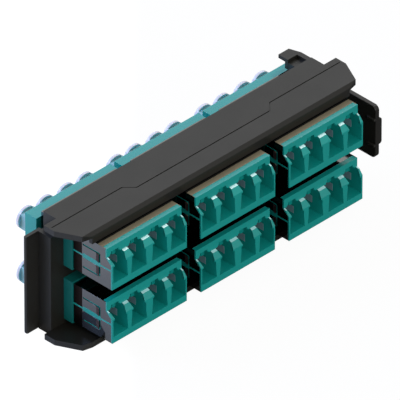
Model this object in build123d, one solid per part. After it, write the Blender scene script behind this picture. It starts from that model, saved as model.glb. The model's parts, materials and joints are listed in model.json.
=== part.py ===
from build123d import *
import os

os.makedirs("parts", exist_ok=True)

# Snap-in fibre adapter panel, in millimetres.
# X runs along the panel, +Y to the rear, +Z up. The origin is on the underside,
# mid length, in the plane of the panel's front face.

# Ports of one four-way adapter, counted from its left side
port_width = 4.65
port_pitch = 6.25
centre_divider = 2.30
outer_wall = 0.42
port_floor = 1.80
port_names = ("a", "b", "c", "d")

# Adapter, measured back from its front edge
adapter_height = 11.10
step_height = 6.96
step_back = 1.80
step_rise = 1.62
slot_width = 2.40
slot_top = 9.66
slot_depth = 6.00
slot_step_width = 3.20
slot_step_top = 8.98
mouth_depth = 4.00
foot_flare = 0.28
foot_height = 3.20
foot_depth = 1.60
ledge_depth = 0.35
ledge_rise = 0.13
front_length = 15.92
rear_length = 11.68
flange_depth = 2.92
flange_proud = 0.40
collar_depth = 3.80
collar_proud = 1.63
collar_height = 9.70

# Holder between the adapter's halves, with one barrel for each pair of ferrules
holder_thickness = 3.12
holder_clearance = 0.05
barrel_length = 2.70
barrel_radius = 1.50

# Split ceramic sleeve in each barrel, which lines two ferrules up
sleeve_bore_radius = 0.625
sleeve_wall = 0.18
sleeve_length = 6.70
sleeve_slit = 0.30
sleeve_play = 0.05
lip_depth = 0.30
lip_radius = 0.70

# Spring steel sheet wrapped round each half of the adapter
sheet = 0.20
clip_setback = 0.42
clip_top_setback = 1.40
seam_height = 5.40
seam_width = 0.46
tab_free_end = 3.95
tab_length = 5.90
tab_inner = 1.30
tab_outer = 6.30
tab_middle = 5.32
tab_slit = 0.25
tab_bend = 1.45
tab_flare = 0.28
rear_clip_gap = 0.12

# Dust cap in each rear port
cap_radius = 3.00
cap_thickness = 0.80
cap_neck = 3.70
cap_plug = 4.35
cap_plug_length = 7.60
cap_hollow = 3.20
cap_hollow_depth = 3.00

# Moulded panel
columns = ("left", "middle", "right")
rows = ("lower", "upper")
column_gap = 4.75
row_gap = 4.40
panel_thickness = 4.25
end_margin = 4.64
panel_height = 28.30
plate_thickness = 1.57
plate_gap = 1.70
cutout_clearance = 0.15
neck_setback = 1.80
wing_overhang = 2.20
nose_setback = 0.90
nose_reach = 10.40
wing_depth = 3.40
bevel_depth = 0.65
bevel_height = 0.95
lip_height = 3.20
lip_thickness = 1.10
lip_setback = 3.60
corner_radius = 0.80

# Thin styling groove on the roof
groove_width = 0.28
groove_cut = 0.25
groove_back = -2.00
groove_front = -4.45
groove_margin = 0.60
groove_left_turn = -25.00
groove_right_turn = 24.60

# Guide rail at the left end, hook behind the right end
rail_reach = 4.06
rail_root = 1.20
rail_thickness = 0.87
rail_tip_radius = 0.35
hook_arm_width = 1.40
hook_arm_inset = 0.20
hook_pocket = 3.20
hook_block_length = 3.50
hook_block_depth = 3.20
hook_height = 2.90
hook_lip = 1.00
hook_tooth_inset = 0.35

# Release lever at the right end, on a vertical pivot
lever_height = 15.00
lever_centre_height = 16.60
lever_thickness = 1.30
lever_stand_off = 3.30
lever_reach = 12.40
lever_corner = 1.40
pivot_back = 2.10
knuckle_radius = 1.50
trunnion_radius = 1.00
trunnion_length = 1.50
trunnion_clearance = 0.05
lug_height = 1.90
lug_gap = 0.20
grip_height = 7.50
grip_proud = 0.90
grip_length = 4.20
grip_round = 0.72
rib_proud = 0.50
rib_height = 0.60
rib_length = 2.60

# How far a cut runs past the face that it opens
overshoot = 1.00

# Values that follow from the ones above
divider = port_pitch - port_width
port_centres = []
for index in range(4):
    extra = centre_divider - divider if index > 1 else 0
    port_centres.append(outer_wall + port_width / 2 + index * port_pitch + extra)
adapter_width = port_centres[-1] + port_width / 2 + outer_wall
column_pitch = adapter_width + column_gap
row_pitch = adapter_height + row_gap
port_top = port_floor + port_width
port_axis = port_floor + port_width / 2
body_length = front_length + rear_length
sleeve_outer_radius = sleeve_bore_radius + sleeve_wall
seat_radius = sleeve_outer_radius + sleeve_play
holder_front = front_length - holder_thickness
barrel_tip = holder_front - barrel_length
sleeve_front = barrel_tip + lip_depth + sleeve_play
seat_end = sleeve_front + sleeve_length + sleeve_play
rear_barrel_tip = seat_end + lip_depth
collar_front = body_length - collar_depth
flange_front = front_length - flange_depth
rear_clip_front = front_length + panel_thickness + rear_clip_gap
tab_window = (seam_height - tab_inner / 2, seam_height + tab_inner / 2)
tab_edges = (tab_middle - tab_outer / 2, tab_middle + tab_outer / 2)
tab_end = tab_free_end + tab_length
seam = (seam_height - seam_width / 2, seam_height + seam_width / 2)
lower_floor = plate_thickness + plate_gap
roof_underside = lower_floor + row_pitch + adapter_height + plate_gap
roof_top = roof_underside + plate_thickness
first_column = -column_pitch - adapter_width / 2
panel_half_length = end_margin - first_column
neck_half_length = panel_half_length - neck_setback
wing_half_length = panel_half_length + wing_overhang
nose_half_length = panel_half_length - nose_setback
lip_half_length = panel_half_length - lip_setback
groove_end = wing_half_length - groove_margin
pivot_x = panel_half_length + lever_stand_off + lever_thickness - knuckle_radius
lever_bottom = lever_centre_height - lever_height / 2
lever_top = lever_centre_height + lever_height / 2


def block(x, y, z):
    """A box from its (low, high) limits on each axis."""
    size = [high - low for low, high in (x, y, z)]
    centre = [(high + low) / 2 for low, high in (x, y, z)]
    return Pos(*centre) * Box(*size)


def side_prism(points, x_from, x_to):
    """Extrude an outline given as (y, z) points along X."""
    outline = make_face(Polyline(*points, close=True))
    return extrude(Plane.YZ.offset(x_from) * outline, amount=x_to - x_from, dir=(1, 0, 0))


def plan_prism(points, z_from, z_to):
    """Extrude an outline given as (x, y) points along Z."""
    outline = make_face(Polyline(*points, close=True))
    return extrude(Plane.XY.offset(z_from) * outline, amount=z_to - z_from, dir=(0, 0, 1))


def rod(x, z, radius, y_from, y_to):
    """A cylinder along Y."""
    middle = (y_from + y_to) / 2
    return Pos(x, middle, z) * Rot(90, 0, 0) * Cylinder(radius, y_to - y_from)


def adapter_places():
    """Name and corner of each adapter in the panel."""
    for row_index, row in enumerate(rows):
        for column_index, column in enumerate(columns):
            x = first_column + column_index * column_pitch
            z = lower_floor + row_index * row_pitch
            yield f"{row}_{column}", Pos(x, -front_length, z)


def sheet_wrap(outline):
    """Sheet of steel folded round the adapter's four sides, from its side outline."""
    depths = [point[0] for point in outline]
    through = (min(depths) - overshoot, max(depths) + overshoot)
    outer = side_prism(outline, 0, adapter_width)
    inner = block((sheet, adapter_width - sheet), through, (sheet, adapter_height - sheet))
    return outer - inner - block((-overshoot, 2 * sheet), through, seam)


def front_clip_outline():
    """Side view of the front clip: it follows the adapter's stepped nose."""
    back = step_back + clip_setback
    return [
        (clip_setback, 0),
        (clip_setback, step_height),
        (back, step_height + step_rise),
        (back, adapter_height),
        (flange_front, adapter_height),
        (flange_front, 0),
    ]


def cut_tabs(clip, tip, bend, slit_end):
    """Cut two spring tabs in each side of a clip and lean their free ends outwards."""
    across = (-overshoot, adapter_width + overshoot)
    clip -= block(across, (tip, bend), tab_edges)
    for edge in tab_edges:
        clip -= block(across, (tip, slit_end), (edge - tab_slit / 2, edge + tab_slit / 2))
    lean = [(0, bend), (sheet, bend), (sheet - tab_flare, tip), (-tab_flare, tip)]
    mirrored = [(adapter_width - x, y) for x, y in lean]
    lower_tab = (tab_edges[0] + tab_slit / 2, tab_window[0])
    upper_tab = (tab_window[1], tab_edges[1] - tab_slit / 2)
    for low, high in (lower_tab, upper_tab):
        clip += plan_prism(lean, low, high)
        clip += plan_prism(mirrored, low, high)
    return clip


def front_clip():
    """Front clip with two spring tabs cut into each side."""
    clip = sheet_wrap(front_clip_outline())
    top_front = step_back + clip_top_setback
    inside = (sheet, adapter_width - sheet)
    clip -= block(inside, (-overshoot, top_front), (adapter_height - sheet, adapter_height))
    clip -= block(inside, (-overshoot, clip_top_setback), (0, sheet))
    across = (-overshoot, adapter_width + overshoot)
    clip -= block(across, (tab_free_end, tab_end), tab_window)
    clip -= block(across, (tab_free_end, tab_free_end + tab_slit), tab_edges)
    return cut_tabs(clip, tab_free_end + tab_slit, tab_free_end + tab_bend, tab_end)


def rear_clip():
    """Short clip behind the panel, whose tabs lean out over the cut-out's edge."""
    outline = [
        (rear_clip_front, 0),
        (rear_clip_front, adapter_height),
        (collar_front, adapter_height),
        (collar_front, 0),
    ]
    clip = sheet_wrap(outline)
    bend = rear_clip_front + tab_bend
    return cut_tabs(clip, rear_clip_front, bend, bend + tab_slit)


def clip_seat(y_from, y_to, outline):
    """Hollow that the sheet lies in, with the rib that fills its seam left standing."""
    outer = side_prism(outline, -flange_proud, adapter_width + flange_proud)
    through = (y_from - overshoot, y_to + overshoot)
    inner = block((sheet, adapter_width - sheet), through, (sheet, adapter_height - sheet))
    return outer - inner - block((0, sheet), through, seam)


def flared_foot(x):
    """Lead-in that widens the lower corners of a port at its front edge."""
    half = port_width / 2
    foot = half + foot_flare
    top = port_floor + foot_height
    corners = [(x - foot, port_floor), (x - half, top), (x + half, top), (x + foot, port_floor)]
    outline = make_face(Polyline(*corners, close=True))
    plane = Plane.XZ.offset(overshoot)
    return extrude(plane * outline, amount=overshoot + foot_depth, dir=(0, 1, 0))


def port_cavity(x):
    """Front port: plug well with flared feet, wide mouth above it, and the latch slot."""
    half = port_width / 2
    wide = (x - half, x + half)
    narrow = (x - slot_width / 2, x + slot_width / 2)
    stepped = (x - slot_step_width / 2, x + slot_step_width / 2)
    mouth_y = (-overshoot, mouth_depth)
    well = block(wide, (-overshoot, front_length), (port_floor, port_top))
    mouth = block(wide, mouth_y, (port_top, step_height + step_rise))
    slot = block(narrow, (-overshoot, slot_depth), (port_top, slot_top))
    step = block(stepped, mouth_y, (port_top, slot_step_top))
    return well + mouth + slot + step + flared_foot(x)


def front_shell():
    """Front half: stepped nose, four ports, the holder's pocket and the panel flange."""
    profile = [
        (0, 0),
        (0, step_height),
        (step_back - ledge_depth, step_height + step_rise - ledge_rise),
        (step_back, step_height + step_rise),
        (step_back, adapter_height),
        (front_length, adapter_height),
        (front_length, 0),
    ]
    shell = side_prism(profile, 0, adapter_width)
    shell -= clip_seat(clip_setback, flange_front, front_clip_outline())
    top_front = step_back + clip_top_setback
    inside = (sheet, adapter_width - sheet)
    shell += block(inside, (step_back, top_front), (adapter_height - sheet, adapter_height))
    shell += block(inside, (0, clip_top_setback), (0, sheet))
    for low in (0, adapter_width - sheet):
        shell += block((low, low + sheet), (tab_free_end, tab_end), tab_window)
    shell += block(
        (-flange_proud, adapter_width + flange_proud),
        (flange_front, front_length),
        (-flange_proud, adapter_height + flange_proud),
    )
    for x in port_centres:
        shell -= port_cavity(x)
    pocket = (outer_wall, adapter_width - outer_wall)
    return shell - block(pocket, (holder_front, front_length), (port_floor, port_top))


def rear_shell():
    """Rear half: neck through the cut-out, wide collar and four ports for the caps."""
    shell = block((0, adapter_width), (front_length, collar_front), (0, adapter_height))
    outline = [
        (rear_clip_front, -overshoot),
        (rear_clip_front, adapter_height + overshoot),
        (collar_front, adapter_height + overshoot),
        (collar_front, -overshoot),
    ]
    shell -= clip_seat(rear_clip_front, collar_front, outline)
    shell += block(
        (-collar_proud, adapter_width + collar_proud),
        (collar_front, body_length),
        (0, collar_height),
    )
    half = port_width / 2
    well = (front_length, body_length)
    slot = (body_length - slot_depth, body_length)
    for x in port_centres:
        shell -= block((x - half, x + half), well, (port_floor, port_top))
        shell -= block((x - slot_width / 2, x + slot_width / 2), slot, (port_top, slot_step_top))
    return shell


def sleeve_holder():
    """Plate trapped between the halves, whose four barrels stand out on both sides."""
    gap = holder_clearance
    holder = block(
        (outer_wall + gap, adapter_width - outer_wall - gap),
        (holder_front, front_length),
        (port_floor + gap, port_top - gap),
    )
    for x in port_centres:
        holder += rod(x, port_axis, barrel_radius, barrel_tip, rear_barrel_tip)
    for x in port_centres:
        holder -= rod(x, port_axis, lip_radius, barrel_tip, rear_barrel_tip)
        holder -= rod(x, port_axis, seat_radius, barrel_tip + lip_depth, seat_end)
    return holder


def alignment_sleeves():
    """Four split sleeves, one in each barrel."""
    sleeves = []
    y = (sleeve_front, sleeve_front + sleeve_length)
    for x in port_centres:
        sleeve = rod(x, port_axis, sleeve_outer_radius, *y)
        sleeve -= rod(x, port_axis, sleeve_bore_radius, *y)
        slit_z = (port_axis, port_axis + 2 * sleeve_outer_radius)
        sleeves.append(sleeve - block((x - sleeve_slit / 2, x + sleeve_slit / 2), y, slit_z))
    return sleeves


def dust_cap(x):
    """Cap for one rear port: plug, neck and round head."""
    head_at = body_length + cap_neck
    half = cap_plug / 2
    cap = rod(x, port_axis, cap_radius, head_at, head_at + cap_thickness)
    plug_end = body_length - cap_plug_length
    cap += block((x - half, x + half), (plug_end, head_at), (port_axis - half, port_axis + half))
    hollow = cap_hollow / 2
    depth = (plug_end, plug_end + cap_hollow_depth)
    cap -= block((x - hollow, x + hollow), depth, (port_axis - hollow, port_axis + hollow))
    return cap


def plan_outline():
    """Plan of the roof and the bottom plate, with chamfered wings."""
    right = [
        (lip_half_length, -nose_reach),
        (nose_half_length, bevel_depth - nose_reach),
        (wing_half_length, -wing_depth),
        (wing_half_length, 0),
        (neck_half_length, 0),
        (neck_half_length, panel_thickness),
    ]
    left = [(-x, y) for x, y in reversed(right)]
    return right + left


def roof():
    """Roof with a bevelled nose and a lip that hangs down in front."""
    profile = [
        (panel_thickness, roof_underside),
        (panel_thickness, roof_top),
        (bevel_depth - nose_reach, roof_top),
        (-nose_reach, roof_top - bevel_height),
        (-nose_reach, roof_top - lip_height),
        (lip_thickness - nose_reach, roof_top - lip_height),
        (lip_thickness - nose_reach, roof_underside),
    ]
    bar = side_prism(profile, -wing_half_length, wing_half_length)
    lip_z = (roof_top - lip_height, roof_underside)
    for side in (-1, 1):
        ends = sorted((side * lip_half_length, side * wing_half_length))
        bar -= block(ends, (-nose_reach, lip_thickness - nose_reach), lip_z)
    return (bar & plan_prism(plan_outline(), 0, roof_top)) - roof_groove()


def roof_groove():
    """Straight groove along the roof that steps forward in the middle."""
    shift = groove_back - groove_front
    path = [
        (-groove_end, groove_back),
        (groove_left_turn, groove_back),
        (groove_left_turn + shift, groove_front),
        (groove_right_turn - shift, groove_front),
        (groove_right_turn, groove_back),
        (groove_end, groove_back),
    ]
    half = groove_width / 2
    band = [(x, y + half) for x, y in path] + [(x, y - half) for x, y in reversed(path)]
    return plan_prism(band, roof_top - groove_cut, roof_top + overshoot)


def guide_rail():
    """Flat rail that stands out behind the left end and runs in the housing's slot."""
    back = panel_thickness + rail_thickness
    rail = block(
        (-panel_half_length - rail_reach, -panel_half_length + rail_root),
        (panel_thickness, back),
        (0, panel_height),
    )
    corner = rail.edges().filter_by(Axis.Y).group_by(Axis.X)[0].group_by(Axis.Z)[0]
    rail = fillet(corner, corner_radius)
    tip = rail.edges().filter_by(Axis.Z).group_by(Axis.X)[0]
    return fillet(tip, rail_tip_radius)


def rear_hook():
    """Arm and block behind the roof's right end that catch the housing's edge."""
    arm_right = neck_half_length - hook_arm_inset
    arm_left = arm_right - hook_arm_width
    block_front = panel_thickness + hook_pocket
    z = (roof_top - hook_height, roof_top)
    arm = block((arm_left, arm_right), (panel_thickness, block_front), z)
    block_right = arm_left + hook_tooth_inset
    catch_points = [
        (block_right - hook_block_length, block_front),
        (arm_right, block_front),
        (block_right, block_front + hook_block_depth),
        (block_right - hook_block_length, block_front + hook_block_depth),
    ]
    catch = plan_prism(catch_points, *z)
    under = block(
        (block_right - hook_block_length, arm_right),
        (block_front + hook_lip, block_front + hook_block_depth),
        (roof_top - hook_height, roof_top - hook_lip),
    )
    return arm + (catch - under)


def lever_lug(z_from, z_to):
    """Ear on the panel's right end with the hole for a trunnion."""
    width = (pivot_back - knuckle_radius, pivot_back + knuckle_radius)
    ear = block((panel_half_length, pivot_x), width, (z_from, z_to))
    height = z_to - z_from
    axis = Pos(pivot_x, pivot_back, z_from + height / 2)
    hole = Cylinder(trunnion_radius + trunnion_clearance, height)
    return ear + axis * Cylinder(knuckle_radius, height) - axis * hole


def panel_frame():
    """Black moulding: panel with six cut-outs, roof, bottom plate, rail, hook and lugs."""
    frame = block(
        (-panel_half_length, panel_half_length), (0, panel_thickness), (0, panel_height)
    )
    frame += block((-neck_half_length, neck_half_length), (0, panel_thickness), (0, roof_top))
    frame += roof()
    frame += plan_prism(plan_outline(), 0, plate_thickness)
    frame += guide_rail() + rear_hook()
    frame += lever_lug(lever_bottom - lug_gap - lug_height, lever_bottom - lug_gap)
    frame += lever_lug(lever_top + lug_gap, lever_top + lug_gap + lug_height)
    cut = block(
        (-cutout_clearance, adapter_width + cutout_clearance),
        (0, front_length + panel_thickness + overshoot),
        (-cutout_clearance, adapter_height + cutout_clearance),
    )
    for _, place in adapter_places():
        frame -= place * cut
    return frame


def release_lever():
    """Finger lever: plate with a grip, knuckle and two trunnions."""
    outer = panel_half_length + lever_stand_off + lever_thickness
    inner = outer - lever_thickness
    side_outline = [(-lever_reach, lever_bottom), (-lever_reach, lever_top)]
    side_outline += [(pivot_back, lever_top), (pivot_back, lever_bottom)]
    plate = side_prism(side_outline, inner, outer)
    corners = plate.edges().filter_by(Axis.X).group_by(Axis.Y)[0]
    plate = fillet(corners, lever_corner)
    middle = lever_centre_height
    lever = plate + Pos(pivot_x, pivot_back, middle) * Cylinder(knuckle_radius, lever_height)
    pin_height = lever_height + 2 * trunnion_length
    lever += Pos(pivot_x, pivot_back, middle) * Cylinder(trunnion_radius, pin_height)
    grip_z = (middle - grip_height / 2, middle + grip_height / 2)
    grip = block((outer, outer + grip_proud), (-lever_reach, grip_length - lever_reach), grip_z)
    round_edges = grip.edges().filter_by(Axis.Y).group_by(Axis.X)[-1]
    lever += fillet(round_edges, grip_round)
    for z in grip_z:
        lever += block(
            (inner - rib_proud, inner),
            (-lever_reach, rib_length - lever_reach),
            (z - rib_height / 2, z + rib_height / 2),
        )
    return lever


def write(name, shape):
    """Save one piece, or a group of like pieces, under its name."""
    if isinstance(shape, list):
        shape = Compound(children=shape)
    shape.label = name
    export_step(shape, f"parts/{name}.step")


write("panel_frame", panel_frame())
write("release_lever", release_lever())

pieces = {
    "front_shell": front_shell(),
    "rear_shell": rear_shell(),
    "front_clip": front_clip(),
    "rear_clip": rear_clip(),
    "sleeve_holder": sleeve_holder(),
}
caps = {name: dust_cap(x) for name, x in zip(port_names, port_centres)}
sleeves = []
for place_name, place in adapter_places():
    for piece_name, piece in pieces.items():
        write(f"{piece_name}_{place_name}", place * piece)
    sleeves += [place * sleeve for sleeve in alignment_sleeves()]
    for cap_name, cap in caps.items():
        write(f"dust_cap_{place_name}_{cap_name}", place * cap)
write("alignment_sleeves", sleeves)
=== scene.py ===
# Fibre adapter panel: its finished pieces round the solids, and the floor, lamps and camera

import json
import math

import bmesh
import bpy
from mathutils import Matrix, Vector


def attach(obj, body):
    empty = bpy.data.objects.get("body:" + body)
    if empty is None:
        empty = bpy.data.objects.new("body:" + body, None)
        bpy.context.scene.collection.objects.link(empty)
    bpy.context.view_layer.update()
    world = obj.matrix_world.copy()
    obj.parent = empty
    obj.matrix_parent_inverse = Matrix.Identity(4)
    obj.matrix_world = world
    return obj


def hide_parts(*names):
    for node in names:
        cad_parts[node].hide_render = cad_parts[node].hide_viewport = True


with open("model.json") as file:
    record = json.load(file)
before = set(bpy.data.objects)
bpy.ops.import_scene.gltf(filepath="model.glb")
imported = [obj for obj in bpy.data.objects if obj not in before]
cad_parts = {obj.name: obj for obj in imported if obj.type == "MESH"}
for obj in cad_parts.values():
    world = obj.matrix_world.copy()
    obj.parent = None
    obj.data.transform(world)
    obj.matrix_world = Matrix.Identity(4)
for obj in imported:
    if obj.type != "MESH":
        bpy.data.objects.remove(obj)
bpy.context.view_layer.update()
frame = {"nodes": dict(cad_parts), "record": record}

MM = 0.001

# The six adapters, and the ports of each from left to right
PLACES = [f"{row}_{column}" for row in ("lower", "upper") for column in ("left", "middle", "right")]
PORTS = "abcd"

# Framing of the photograph: isometric, from the front left and above
PHOTO_WIDTH = 95.20 * MM
LENS = 1650.0
SENSOR = 36.0
LENS_REACH = 100.0
LOOK_AT = Vector((1.27, -1.83, 16.25)) * MM
LOOK_FROM = Vector((-1, -1, 1)).normalized()

# Colours of the finishes, linear
FRAME_BLACK = (0.0135, 0.0125, 0.0095)
AQUA = (0.0060, 0.335, 0.300)
# Painted shade: darker aqua for the flange where it sits in shadow beside the panel
FLANGE_SHADE_AQUA = (0.0040, 0.150, 0.135)
# Painted highlight: near-white aqua on the ledges at the top of the dividers' slants, in place of a glint
LEDGE_HIGHLIGHT_AQUA = (0.50, 0.86, 0.86)
PLATE_GREY = (0.27, 0.38, 0.44)
STEEL = (0.150, 0.148, 0.142)
# Painted sheen: warm lit tone for the front of the upper clips' tops
LIT_TOP_SHEEN_STEEL = (0.255, 0.218, 0.140)
# Painted shade: near-black for the band of the clip's side beside the flange
BAND_SHADE_STEEL = (0.020, 0.012, 0.010)
# Painted shade: darker tone for the bent ends of the clip tabs
TAB_SHADE_STEEL = (0.065, 0.042, 0.043)
CERAMIC = (0.86, 0.85, 0.80)
CAP_RIM = (0.78, 0.73, 0.76)
# Painted shade and painted aqua reflection for the caps' necks and heads' fronts
CAP_NECK_SHADE = (0.31, 0.54, 0.57)
WHITE = (1, 1, 1)

# Patterns of the finishes: features to the metre, depth of the rolling lines, and range of the noise
PLASTIC_MOTTLE = 160.0
STEEL_MOTTLE = 300.0
CAP_MOTTLE = 250.0
CERAMIC_GRAIN = 6000.0
ROLLING_LINES = (4000, 300, 4000)
ROLLING_DEPTH = 0.00002 * MM
NOISE_LOW = 0.3
NOISE_HIGH = 0.7

# Light that goes through the dust caps' plastic
CAP_TRANSLUCENCY = 0.35
CAP_SCATTER = (0.6, 0.9, 1.0)
CAP_SCATTER_DEPTH = 1.2 * MM

# Rounding of the moulded and folded edges
FRAME_ROUND = 0.18 * MM
SHELL_ROUND = 0.045 * MM
CAP_ROUND = 2 * SHELL_ROUND
CLIP_ROUND = 0.03 * MM
SHARP_ANGLE = math.radians(15)
CREASE_ANGLE = math.radians(50)
FLAT_ANGLE = math.radians(1.0)
MERGE = 0.002 * MM

# Ledge at the top of each divider's slant: how far and how steeply it is drawn forward, and its direction
LEDGE_WIDENED = 0.33 * MM
LEDGE_SLOPE = 0.37
LEDGE_UPWARD = (0.90, 0.97)
LEDGE_FORWARD = -0.25

# Port, from its middle: half its width, and the flared foot that runs out towards the rear
PORT_HALF = 2.325 * MM
FOOT_FLARE = 0.28 * MM
FOOT_DEPTH = 1.60 * MM

# Filled lower corner of an outermost port: its thickness in the wall, its bottom and its top
CORNER_FILL = 0.20 * MM
CORNER_LOW = -2.325 * MM
CORNER_HIGH = 0.875 * MM

# Latch shoulders beside a port's mouth, with heights from the port's middle
SHOULDER_WIDTH = 0.45 * MM
SHOULDER_DEPTH = 1.12 * MM
SHOULDER_LOW = 2.375 * MM
SHOULDER_NOSE = 2.835 * MM
SHOULDER_TOP = 4.20 * MM

# Satin plate on a port's right wall, from the middle of the port's front edge
PLATE_THICKNESS = 0.06 * MM
PLATE_FRONT = 3.50 * MM
PLATE_REAR = 6.20 * MM
PLATE_LOW = -0.20 * MM
PLATE_HIGH = 1.80 * MM

# Where a shell turns into its flange, which gets painted shade, where a cap's head starts, in front of
# which the cap gets painted shade and a painted aqua reflection, and where the front clip's side band of
# painted shade starts and its top's painted sheen ends
FLANGE_FRONT = -2.95 * MM
CAP_HEAD = 15.38 * MM
CLIP_BAND = -5.85 * MM
CLIP_SHEEN_REAR = -11.05 * MM

# A face's direction: square to an axis, or turned by as much as a clip's bent tab
SQUARE_ON = 0.9
TAB_TURN = (0.1, 0.4)

# Slits beside the clip's tabs, with heights from the underside of their row of adapters
UNDERSIDE = {"lower": 3.27 * MM, "upper": 18.77 * MM}
LOWER_SLIT = 2.045 * MM
UPPER_SLIT = 8.595 * MM
SLIT_WIDENED = 0.16 * MM
SLIT_SEARCH = 5 * MERGE

# Web under the hook's arm and floor of the hook's pocket, from corner to corner
HOOK_WEB = (Vector((43.40, 4.10, 28.00)) * MM, Vector((44.80, 8.60, 30.30)) * MM)
POCKET_FLOOR = (Vector((40.30, 4.20, 30.25)) * MM, Vector((43.45, 7.50, 32.20)) * MM)

# Floor: a pale card to the left and behind, and a dark one in front and to the right
FLOOR_SIZE = 6.0
CARD_PALE = 0.85
CARD_DARK = 0.16
CARD_EDGE = (-34 * MM, -16 * MM)
CARD_ACROSS = (1, -1, 0)
CARD_ROUGHNESS = 0.9
CARD_GLOSS = 0.1

# What the camera sees on the floor: mostly plain white, the rest takes the part's shadow
WHITE_SHARE = 0.80
WHITE_GLOW = 1.2

# Light of the surroundings, and the lamps' distance from the point that the camera looks at
ROOM_GLOW = 0.42
LAMP_DISTANCE = 0.9


# Materials


def new_material(name):
    """A new material with its nodes and its shader."""
    material = bpy.data.materials.new(name)
    material.use_nodes = True
    tree = material.node_tree
    return material, tree, tree.nodes["Principled BSDF"]


def grain(tree, scale, detail=4.0):
    """Noise on object coordinates, with its scale given as features to the metre."""
    place = tree.nodes.new("ShaderNodeTexCoord")
    noise = tree.nodes.new("ShaderNodeTexNoise")
    noise.inputs["Scale"].default_value = scale
    noise.inputs["Detail"].default_value = detail
    tree.links.new(place.outputs["Object"], noise.inputs["Vector"])
    return noise.outputs["Fac"]


def rolling_lines(tree):
    """Noise that is drawn out along the adapter."""
    place = tree.nodes.new("ShaderNodeTexCoord")
    stretch = tree.nodes.new("ShaderNodeMapping")
    stretch.inputs["Scale"].default_value = ROLLING_LINES
    lines = tree.nodes.new("ShaderNodeTexNoise")
    lines.inputs["Scale"].default_value = 1.0
    lines.inputs["Detail"].default_value = 3.0
    tree.links.new(place.outputs["Object"], stretch.inputs["Vector"])
    tree.links.new(stretch.outputs["Vector"], lines.inputs["Vector"])
    return lines.outputs["Fac"]


def spread(tree, value, low, high):
    """Map noise to a range of values."""
    ramp = tree.nodes.new("ShaderNodeMapRange")
    ramp.inputs["From Min"].default_value = NOISE_LOW
    ramp.inputs["From Max"].default_value = NOISE_HIGH
    ramp.inputs["To Min"].default_value = low
    ramp.inputs["To Max"].default_value = high
    tree.links.new(value, ramp.inputs["Value"])
    return ramp.outputs["Result"]


def tint(tree, value, colour, change):
    """Colour that drifts a little darker and lighter with the noise."""
    mix = tree.nodes.new("ShaderNodeMix")
    mix.data_type = "RGBA"
    mix.inputs["A"].default_value = (*[c * (1 - change) for c in colour], 1)
    mix.inputs["B"].default_value = (*[min(1.0, c * (1 + change)) for c in colour], 1)
    tree.links.new(value, mix.inputs["Factor"])
    return mix.outputs["Result"]


def relief(tree, shader, height, depth):
    """Surface relief, with its depth in metres."""
    bump = tree.nodes.new("ShaderNodeBump")
    bump.inputs["Strength"].default_value = 1.0
    bump.inputs["Distance"].default_value = depth
    tree.links.new(height, bump.inputs["Height"])
    tree.links.new(bump.outputs["Normal"], shader.inputs["Normal"])


def moulded_plastic(
    name, colour, roughness, grain_size=0.30 * MM, grain_depth=0.0002 * MM, specular=0.50, change=0.03
):
    """Injection-moulded plastic: fine spark-eroded grain and slow gloss changes."""
    material, tree, shader = new_material(name)
    broad = grain(tree, PLASTIC_MOTTLE, detail=2.0)
    fine = grain(tree, 1 / grain_size)
    tree.links.new(tint(tree, broad, colour, change), shader.inputs["Base Color"])
    tree.links.new(spread(tree, broad, *roughness), shader.inputs["Roughness"])
    shader.inputs["Specular IOR Level"].default_value = specular
    relief(tree, shader, fine, grain_depth)
    return material


def rolled_steel(name, colour, metallic, roughness):
    """Rolled sheet: fine lines along the adapter over a soft mottle."""
    material, tree, shader = new_material(name)
    lines = rolling_lines(tree)
    broad = grain(tree, STEEL_MOTTLE, detail=2.0)
    tree.links.new(tint(tree, broad, colour, change=0.04), shader.inputs["Base Color"])
    tree.links.new(spread(tree, lines, *roughness), shader.inputs["Roughness"])
    shader.inputs["Metallic"].default_value = metallic
    relief(tree, shader, lines, ROLLING_DEPTH)
    return material


def cap_plastic(name, colour):
    """Soft translucent polyethylene of the dust caps."""
    material, tree, shader = new_material(name)
    broad = grain(tree, CAP_MOTTLE, detail=2.0)
    tree.links.new(tint(tree, broad, colour, change=0.05), shader.inputs["Base Color"])
    tree.links.new(spread(tree, broad, low=0.28, high=0.40), shader.inputs["Roughness"])
    shader.inputs["Subsurface Weight"].default_value = CAP_TRANSLUCENCY
    shader.inputs["Subsurface Radius"].default_value = CAP_SCATTER
    shader.inputs["Subsurface Scale"].default_value = CAP_SCATTER_DEPTH
    return material


def ground_ceramic(name, colour):
    """Ground zirconia of the alignment sleeves."""
    material, tree, shader = new_material(name)
    fine = grain(tree, CERAMIC_GRAIN)
    tree.links.new(tint(tree, fine, colour, change=0.03), shader.inputs["Base Color"])
    tree.links.new(spread(tree, fine, low=0.18, high=0.28), shader.inputs["Roughness"])
    return material


FRAME_FINISH = moulded_plastic(
    "black frame plastic",
    FRAME_BLACK,
    roughness=(0.40, 0.44),
    grain_size=0.20 * MM,
    grain_depth=0.0010 * MM,
    specular=0.40,
    change=0.04,
)
ADAPTER_FINISH = moulded_plastic("aqua adapter plastic", AQUA, roughness=(0.20, 0.24))
STEEL_FINISH = rolled_steel("rolled spring steel", STEEL, metallic=1.0, roughness=(0.05, 0.09))
CAP_FINISH = cap_plastic("pale cap plastic", CAP_RIM)
CERAMIC_FINISH = ground_ceramic("ground ceramic", CERAMIC)

# Painted shade and painted aqua reflection on the caps' necks
CAP_NECK_SHADE_FINISH = cap_plastic("cap plastic with painted shade and painted aqua reflection", CAP_NECK_SHADE)
# Painted sheen on the lit tops of the upper clips
LIT_TOP_SHEEN_FINISH = rolled_steel("spring steel with warm painted sheen on the lit tops", LIT_TOP_SHEEN_STEEL, metallic=0.40, roughness=(0.36, 0.40))
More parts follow.
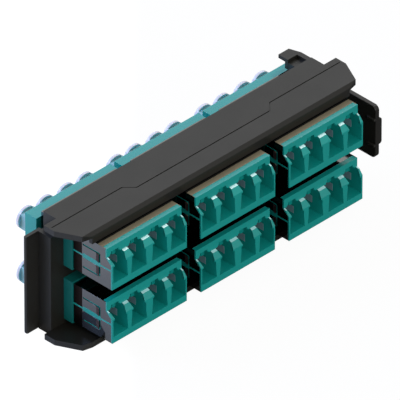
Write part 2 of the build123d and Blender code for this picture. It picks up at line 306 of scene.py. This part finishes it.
# Painted shade on the clip's side beside the flange
BAND_SHADE_FINISH = rolled_steel("painted shade on the clip's band by the flange", BAND_SHADE_STEEL, metallic=1.0, roughness=(0.30, 0.34))
# Painted shade on the bent ends of the clip tabs
TAB_SHADE_FINISH = rolled_steel("painted shade on the bent ends of the clip tabs", TAB_SHADE_STEEL, metallic=0.20, roughness=(0.40, 0.46))
PLATE_FINISH = moulded_plastic(
    "satin plate in the ports", PLATE_GREY, roughness=(0.40, 0.46), change=0.06
)
# Painted shade: darker, duller aqua for the flange
FLANGE_SHADE_FINISH = moulded_plastic(
    "aqua with painted shade on the flange", FLANGE_SHADE_AQUA, roughness=(0.40, 0.46), specular=0.30
)
# Painted highlight on the ledges of the dividers
LEDGE_HIGHLIGHT_FINISH = moulded_plastic("aqua ledge with painted highlight", LEDGE_HIGHLIGHT_AQUA, roughness=(0.25, 0.30))

# Finish of each material slot
FINISHES = {
    "frame_plastic": FRAME_FINISH,
    "adapter_plastic": ADAPTER_FINISH,
    "clip_steel": STEEL_FINISH,
    "cap_plastic": CAP_FINISH,
    "sleeve_ceramic": CERAMIC_FINISH,
}

# Order of the finishes on the pieces that have several, after the finish of their slot
SHELL_EXTRAS = (LEDGE_HIGHLIGHT_FINISH, FLANGE_SHADE_FINISH)
ON_LEDGE_HIGHLIGHT, ON_FLANGE_SHADE = 1, 2
CLIP_EXTRAS = (LIT_TOP_SHEEN_FINISH, BAND_SHADE_FINISH, TAB_SHADE_FINISH)
ON_LIT_TOP_SHEEN, ON_BAND_SHADE, ON_TAB_SHADE = 1, 2, 3
CAP_EXTRAS = (CAP_NECK_SHADE_FINISH,)
ON_NECK_SHADE = 1


# Shaping


def new_object(name, shape, *finishes):
    """Turn a bmesh into an object with its finishes."""
    mesh = bpy.data.meshes.new(name)
    shape.to_mesh(mesh)
    shape.free()
    piece = bpy.data.objects.new(name, mesh)
    bpy.context.collection.objects.link(piece)
    for finish in finishes:
        mesh.materials.append(finish)
    return piece


def body_of(node):
    """The moving body that a node belongs to, or the panel."""
    for body, nodes in frame["record"]["behaviour"]["bodies"].items():
        if node in nodes:
            return body
    return "panel"


def stand_in(name, shape, node, slot, extras=()):
    """A finished piece that stands for a node of the solids."""
    piece = new_object(name, shape, FINISHES[slot], *extras)
    weight = piece.modifiers.new("even normals", "WEIGHTED_NORMAL")
    weight.keep_sharp = True
    weight.mode = "FACE_AREA"
    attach(piece, body_of(node))
    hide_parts(node)


def extra_piece(name, shape, finish):
    """A small fixed part of the panel that only this model shows."""
    piece = new_object(name, shape, finish)
    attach(piece, "panel")


def merged_copy(node):
    """The node's solid as a bmesh with whole flat faces instead of loose triangles."""
    shape = bmesh.new()
    shape.from_mesh(frame["nodes"][node].data)
    bmesh.ops.remove_doubles(shape, verts=shape.verts, dist=MERGE)
    bmesh.ops.dissolve_limit(shape, angle_limit=FLAT_ANGLE, verts=shape.verts, edges=shape.edges)
    return shape


def edges_sharper_than(angle, shape):
    """Edges where two faces meet at more than an angle."""
    return [e for e in shape.edges if len(e.link_faces) == 2 and e.calc_face_angle() > angle]


def round_edges(shape, width, segments=2):
    """Give the shape the small radius that a mould or a fold leaves."""
    bmesh.ops.bevel(
        shape,
        geom=edges_sharper_than(SHARP_ANGLE, shape),
        offset=width,
        offset_type="OFFSET",
        affect="EDGES",
        segments=segments,
        profile=0.5,
        material=-1,
        clamp_overlap=True,
    )
    for face in shape.faces:
        face.smooth = True
    for edge in edges_sharper_than(CREASE_ANGLE, shape):
        edge.smooth = False


def depth_of(face):
    """Where the middle of a face lies between the front and the rear."""
    return face.calc_center_median().y


def front_of(face):
    """How far to the front a face reaches."""
    return min(v.co.y for v in face.verts)


def add_block(shape, low, high):
    """Add a box between two corners to the shape."""
    corners = [(x, y, z) for x in (low[0], high[0]) for y in (low[1], high[1]) for z in (low[2], high[2])]
    bmesh.ops.convex_hull(shape, input=[shape.verts.new(c) for c in corners])


def port_mounts(place):
    """Middle of each front port of an adapter, at its front edge."""
    mounts = frame["record"]["mounts"]
    return [Vector(m["pos_m"]) for m in mounts if m["name"].startswith(f"port_{place}_")]


# Pieces


def rounded_piece(node, slot, width, segments=2):
    """A solid with rounded edges and its finish."""
    shape = merged_copy(node)
    round_edges(shape, width, segments)
    stand_in(f"{node}_moulding", shape, node, slot)


def plain_piece(node, slot):
    """A node that stays as it is and gets its finish."""
    solid = frame["nodes"][node]
    solid.data.materials.clear()
    solid.data.materials.append(FINISHES[slot])


def ledge_faces(shape):
    """Faces of the small ledge at the top of each divider's slant."""
    low, high = LEDGE_UPWARD
    return [f for f in shape.faces if low < f.normal.z < high and f.normal.y < LEDGE_FORWARD]


def widen_ledges(shape):
    """Draw the lower edge of the ledges forward and down."""
    lower_edge = {v for f in ledge_faces(shape) for v in f.verts if v.co.y < front_of(f) + MERGE}
    for corner in lower_edge:
        corner.co.y -= LEDGE_WIDENED
        corner.co.z -= LEDGE_WIDENED * LEDGE_SLOPE


def run_out_feet(shape, place):
    """Let the flared lower corners of the ports run out to nothing towards the rear."""
    for middle in port_mounts(place):
        for corner in shape.verts:
            away = corner.co.x - middle.x
            deep = abs(corner.co.y - middle.y - FOOT_DEPTH) < MERGE
            if deep and PORT_HALF + MERGE < abs(away) < PORT_HALF + FOOT_FLARE + MERGE:
                corner.co.x = middle.x + math.copysign(PORT_HALF, away)
    bmesh.ops.remove_doubles(shape, verts=shape.verts, dist=MERGE)


def front_shell_piece(place):
    """Front half of an adapter, with painted shade on its flange and a painted highlight on its ledges.
    """
    node = f"front_shell_{place}"
    shape = merged_copy(node)
    widen_ledges(shape)
    # The flange's faces get painted shade
    for face in shape.faces:
        face.material_index = ON_FLANGE_SHADE if depth_of(face) > FLANGE_FRONT else 0
    # The ledge faces get a painted highlight
    for face in ledge_faces(shape):
        face.material_index = ON_LEDGE_HIGHLIGHT
    run_out_feet(shape, place)
    round_edges(shape, SHELL_ROUND)
    stand_in(f"{node}_moulding", shape, node, "adapter_plastic", SHELL_EXTRAS)


def add_shoulder(shape, middle, side):
    """Add the wedge on one side of a port's mouth that guides the plug's latch."""
    wall = middle.x + side * PORT_HALF
    inner = wall - side * SHOULDER_WIDTH
    front = middle.y
    rear = middle.y + SHOULDER_DEPTH
    low = middle.z + SHOULDER_LOW
    nose = middle.z + SHOULDER_NOSE
    top = middle.z + SHOULDER_TOP
    corners = [(wall, front, low), (inner, front, low), (wall, rear, low)]
    corners += [(wall, front, nose), (inner, front, nose), (wall, rear, top)]
    bmesh.ops.convex_hull(shape, input=[shape.verts.new(c) for c in corners])


def fill_outer_corners(shape, place):
    """Add straight lower corners at the adapter's thin outer walls."""
    ports = sorted(port_mounts(place), key=lambda m: m.x)
    for middle, side in ((ports[0], -1), (ports[-1], 1)):
        across = sorted((middle.x + side * PORT_HALF, middle.x + side * (PORT_HALF + CORNER_FILL)))
        low = (across[0], middle.y + MERGE, middle.z + CORNER_LOW)
        high = (across[1], middle.y + FOOT_DEPTH + MERGE, middle.z + CORNER_HIGH)
        add_block(shape, low, high)


def latch_shoulders(place):
    """Wedges at both sides of each port's mouth, and the filled corners of the outermost ports."""
    shape = bmesh.new()
    for middle in port_mounts(place):
        for side in (-1, 1):
            add_shoulder(shape, middle, side)
    fill_outer_corners(shape, place)
    extra_piece(f"latch_shoulders_{place}", shape, ADAPTER_FINISH)


def port_plates(place):
    """Thin satin plates on the right walls of the ports."""
    shape = bmesh.new()
    for middle in port_mounts(place):
        wall = middle.x + PORT_HALF
        low = (wall - PLATE_THICKNESS, middle.y + PLATE_FRONT, middle.z + PLATE_LOW)
        high = (wall + MERGE, middle.y + PLATE_REAR, middle.z + PLATE_HIGH)
        add_block(shape, low, high)
    extra_piece(f"port_plates_{place}", shape, PLATE_FINISH)


def widen_slits(shape, place):
    """Make the slits beside the tabs a little wider on their outer sides."""
    underside = UNDERSIDE[place.split("_")[0]]
    for corner in shape.verts:
        height = corner.co.z - underside
        if abs(height - LOWER_SLIT) < SLIT_SEARCH:
            corner.co.z -= SLIT_WIDENED
        elif abs(height - UPPER_SLIT) < SLIT_SEARCH:
            corner.co.z += SLIT_WIDENED


def clip_finish(face, place):
    """Which finish a face of the front clip has."""
    # Painted sheen: only the upper row's tops in front of the roof's lip get the warm lit tone, the
    # shadowed ones stay plain steel
    if face.normal.z > SQUARE_ON:
        front = depth_of(face) < CLIP_SHEEN_REAR
        return ON_LIT_TOP_SHEEN if front and place.startswith("upper") else 0
    # Painted shade on the side faces behind the band's start
    if abs(face.normal.x) > SQUARE_ON and depth_of(face) > CLIP_BAND:
        return ON_BAND_SHADE
    # Painted shade on the faces turned like the bent tab ends
    if abs(face.normal.x) > SQUARE_ON and TAB_TURN[0] < abs(face.normal.y) < TAB_TURN[1]:
        return ON_TAB_SHADE
    return 0


def front_clip_piece(place):
    """Front clip: painted warm sheen on the front of the upper row's tops, painted shade on the tab ends,
    and a band of painted shade at the flange.
    """
    node = f"front_clip_{place}"
    shape = merged_copy(node)
    widen_slits(shape, place)
    for cut in (CLIP_BAND, CLIP_SHEEN_REAR):
        every = shape.verts[:] + shape.edges[:] + shape.faces[:]
        bmesh.ops.bisect_plane(shape, geom=every, plane_co=(0, cut, 0), plane_no=(0, 1, 0), dist=MERGE)
    for face in shape.faces:
        face.material_index = clip_finish(face, place)
    round_edges(shape, CLIP_ROUND)
    stand_in(f"{node}_sheet", shape, node, "clip_steel", CLIP_EXTRAS)


def dust_cap_piece(node):
    """Dust cap, whose neck and head's front get painted shade and a painted reflection of the adapter's
    aqua.
    """
    shape = merged_copy(node)
    for face in shape.faces:
        # The neck and the head's front get painted shade and a painted aqua reflection
        face.material_index = ON_NECK_SHADE if depth_of(face) < CAP_HEAD + MERGE else 0
    round_edges(shape, CAP_ROUND)
    stand_in(f"{node}_moulding", shape, node, "cap_plastic", CAP_EXTRAS)


def hook_web():
    """Floor of the hook's pocket and the web under the hook's arm."""
    shape = bmesh.new()
    add_block(shape, *HOOK_WEB)
    add_block(shape, *POCKET_FLOOR)
    extra_piece("hook_web", shape, FRAME_FINISH)


rounded_piece("panel_frame", "frame_plastic", FRAME_ROUND, segments=3)
rounded_piece("release_lever", "frame_plastic", FRAME_ROUND, segments=3)
plain_piece("alignment_sleeves", "sleeve_ceramic")
hook_web()
for place in PLACES:
    front_shell_piece(place)
    latch_shoulders(place)
    port_plates(place)
    rounded_piece(f"rear_shell_{place}", "adapter_plastic", SHELL_ROUND)
    front_clip_piece(place)
    rounded_piece(f"rear_clip_{place}", "clip_steel", CLIP_ROUND)
    rounded_piece(f"sleeve_holder_{place}", "adapter_plastic", SHELL_ROUND)
    for port in PORTS:
        dust_cap_piece(f"dust_cap_{place}_{port}")


# Floor, light and camera


def white_share(tree):
    """How much of the backdrop's plain white the camera sees on the floor."""
    path = tree.nodes.new("ShaderNodeLightPath")
    share = tree.nodes.new("ShaderNodeMath")
    share.operation = "MULTIPLY"
    share.inputs[1].default_value = WHITE_SHARE
    tree.links.new(path.outputs["Is Camera Ray"], share.inputs[0])
    return share.outputs[0]


def card_shade(tree):
    """Grey of the floor, which falls off from the pale card to the dark one."""
    place = tree.nodes.new("ShaderNodeTexCoord")
    across = tree.nodes.new("ShaderNodeVectorMath")
    across.operation = "DOT_PRODUCT"
    across.inputs[1].default_value = CARD_ACROSS
    shade = tree.nodes.new("ShaderNodeMapRange")
    shade.interpolation_type = "SMOOTHSTEP"
    shade.inputs["From Min"].default_value = CARD_EDGE[0]
    shade.inputs["From Max"].default_value = CARD_EDGE[1]
    shade.inputs["To Min"].default_value = CARD_PALE
    shade.inputs["To Max"].default_value = CARD_DARK
    tree.links.new(place.outputs["Object"], across.inputs[0])
    tree.links.new(across.outputs["Value"], shade.inputs["Value"])
    return shade.outputs["Result"]


def floor_finish():
    """Matt cards that look nearly white to the camera and still take the shadow."""
    material, tree, shader = new_material("floor")
    tree.links.new(card_shade(tree), shader.inputs["Base Color"])
    shader.inputs["Roughness"].default_value = CARD_ROUGHNESS
    shader.inputs["Specular IOR Level"].default_value = CARD_GLOSS
    glow = tree.nodes.new("ShaderNodeEmission")
    glow.inputs["Strength"].default_value = WHITE_GLOW
    mix = tree.nodes.new("ShaderNodeMixShader")
    tree.links.new(white_share(tree), mix.inputs["Fac"])
    tree.links.new(shader.outputs[0], mix.inputs[1])
    tree.links.new(glow.outputs[0], mix.inputs[2])
    tree.links.new(mix.outputs[0], tree.nodes["Material Output"].inputs["Surface"])
    return material


def two_card_floor():
    """Matt floor under the part."""
    shape = bmesh.new()
    bmesh.ops.create_grid(shape, x_segments=1, y_segments=1, size=FLOOR_SIZE)
    floor = new_object("floor", shape, floor_finish())


def softbox(name, direction, size, watts, colour=WHITE):
    """Square area lamp that looks at the part and isn't seen itself."""
    light = bpy.data.lights.new(name, "AREA")
    light.shape = "SQUARE"
    light.size = size
    light.energy = watts
    light.color = colour
    lamp = bpy.data.objects.new(name, light)
    bpy.context.collection.objects.link(lamp)
    away = Vector(direction).normalized()
    lamp.location = LOOK_AT + away * LAMP_DISTANCE
    lamp.rotation_euler = away.to_track_quat("Z", "Y").to_euler()
    lamp.visible_camera = False


def room_light():
    """Even pale surroundings."""
    world = bpy.data.worlds.new("studio")
    bpy.context.scene.world = world
    world.use_nodes = True
    shade = world.node_tree.nodes["Background"]
    shade.inputs["Color"].default_value = (*WHITE, 1)
    shade.inputs["Strength"].default_value = ROOM_GLOW


def photo_camera():
    """Long lens that stands in for the photograph's parallel projection."""
    lens = bpy.data.cameras.new("camera")
    lens.lens = LENS
    lens.sensor_width = SENSOR
    lens.clip_end = LENS_REACH
    camera = bpy.data.objects.new("camera", lens)
    bpy.context.collection.objects.link(camera)
    camera.location = LOOK_AT + LOOK_FROM * (PHOTO_WIDTH * LENS / SENSOR)
    camera.rotation_euler = LOOK_FROM.to_track_quat("Z", "Y").to_euler()
    bpy.context.scene.camera = camera


two_card_floor()
room_light()
softbox("key from the left", (-0.6, 0.95, 0.75), size=0.5, watts=4.0, colour=(0.72, 1.0, 1.75))
softbox("fill from the front", (-0.20, -1, 0.45), size=0.5, watts=3.1)
softbox("bevel light", (0.577, -0.747, 0.330), size=1.1, watts=0.85)
softbox("sheen from behind", (1, 1, 1), size=0.6, watts=1.1)
softbox("edge light", (0.577, 0.057, 0.815), size=0.14, watts=1.2)
photo_camera()
bpy.context.scene.view_settings.view_transform = "Standard"
